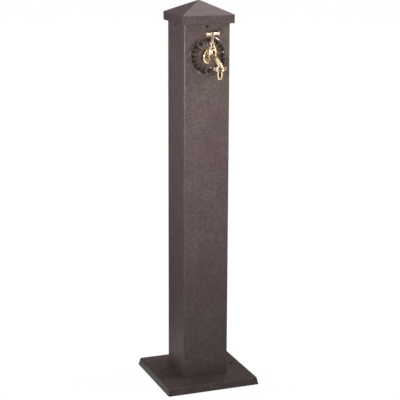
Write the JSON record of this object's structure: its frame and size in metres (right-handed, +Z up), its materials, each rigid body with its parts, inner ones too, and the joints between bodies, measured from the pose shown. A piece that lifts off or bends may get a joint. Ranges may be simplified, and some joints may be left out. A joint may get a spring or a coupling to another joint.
{
  "type": "garden standpipe",
  "caption": "Square steel garden water post on a cast foot, with a hipped cap and a brass bib tap with winged hose union on a fluted rosette.",
  "frame": {"origin": "centre of the foot on the ground, midway between its two fixing holes", "axes": "+Z up along the column; -Y out of the tap's side, +Y out of the inlet's side; +X to the right as the tap is faced"},
  "size_m": [0.248, 0.2802, 0.98],
  "materials": {
    "column_paint": "mottled dark brown powder coat",
    "foot_paint": "dark brown painted casting",
    "cap_paint": "dark brown painted casting",
    "rosette_paint": "dark bronze patina on a casting",
    "dark_screw": "dark painted screw heads",
    "polished_brass": "polished",
    "turned_brass": "turned, unpolished",
    "zinc_steel": "zinc plated",
    "mild_steel": "oiled mild steel",
    "copper_pipe": "drawn copper",
    "black_rubber": "moulded",
    "fibre": "red fibre sheet"
  },
  "bodies": {
    "stand": {"base_plate": "foot_paint", "foot_ring": "mild_steel", "foot_washers": "zinc_steel", "foot_bolts": "zinc_steel", "foot_nuts": "zinc_steel", "column_tube": "column_paint", "cap": "cap_paint", "cap_screws": "dark_screw", "rosette": "rosette_paint", "rosette_screws": "dark_screw", "wall_flange": "polished_brass", "tap_body": "polished_brass", "bonnet_gasket": "fibre", "bonnet": "polished_brass", "gland_packing": "black_rubber", "gland_nut": "polished_brass", "backing_washer": "zinc_steel", "tap_locknut": "turned_brass", "supply_elbow": "turned_brass", "upper_pipe_nut": "turned_brass", "upper_olive": "copper_pipe", "riser_pipe": "copper_pipe", "lower_olive": "copper_pipe", "lower_pipe_nut": "turned_brass", "inlet_elbow": "turned_brass", "inlet_nipple": "turned_brass", "inlet_washer": "black_rubber", "inlet_locknut": "turned_brass"},
    "jumper_set": {"jumper": "turned_brass", "seat_washer": "black_rubber"},
    "spindle_set": {"spindle": "polished_brass", "tee_handle": "polished_brass", "handle_screw": "polished_brass"},
    "hose_tail_set": {"hose_tail": "polished_brass", "outlet_gasket": "black_rubber"},
    "union_nut_set": {"union_nut": "polished_brass"}
  },
  "joints": [
    {"name": "spindle_lift", "type": "slide", "parent": "stand", "child": "jumper_set", "axis": [0, 0, 1], "range_m": [0, 0.00501]},
    {"name": "handle_turn", "type": "hinge", "parent": "jumper_set", "child": "spindle_set", "pos_m": [0, -0.095, 0.906], "axis": [0, 0, 1], "range_deg": [0, 720]},
    {"name": "tail_drop", "type": "slide", "parent": "stand", "child": "hose_tail_set", "axis": [0, 0, -1], "range_m": [0, 0.00545]},
    {"name": "nut_turn", "type": "hinge", "parent": "hose_tail_set", "child": "union_nut_set", "pos_m": [0, -0.144, 0.828], "axis": [0, 0, -1], "range_deg": [0, 1080]}
  ],
  "couplings": [
    {"joint": "spindle_lift", "follows": "handle_turn", "m_per_rad": 0.00039789},
    {"joint": "tail_drop", "follows": "nut_turn", "m_per_rad": 0.00028871}
  ]
}
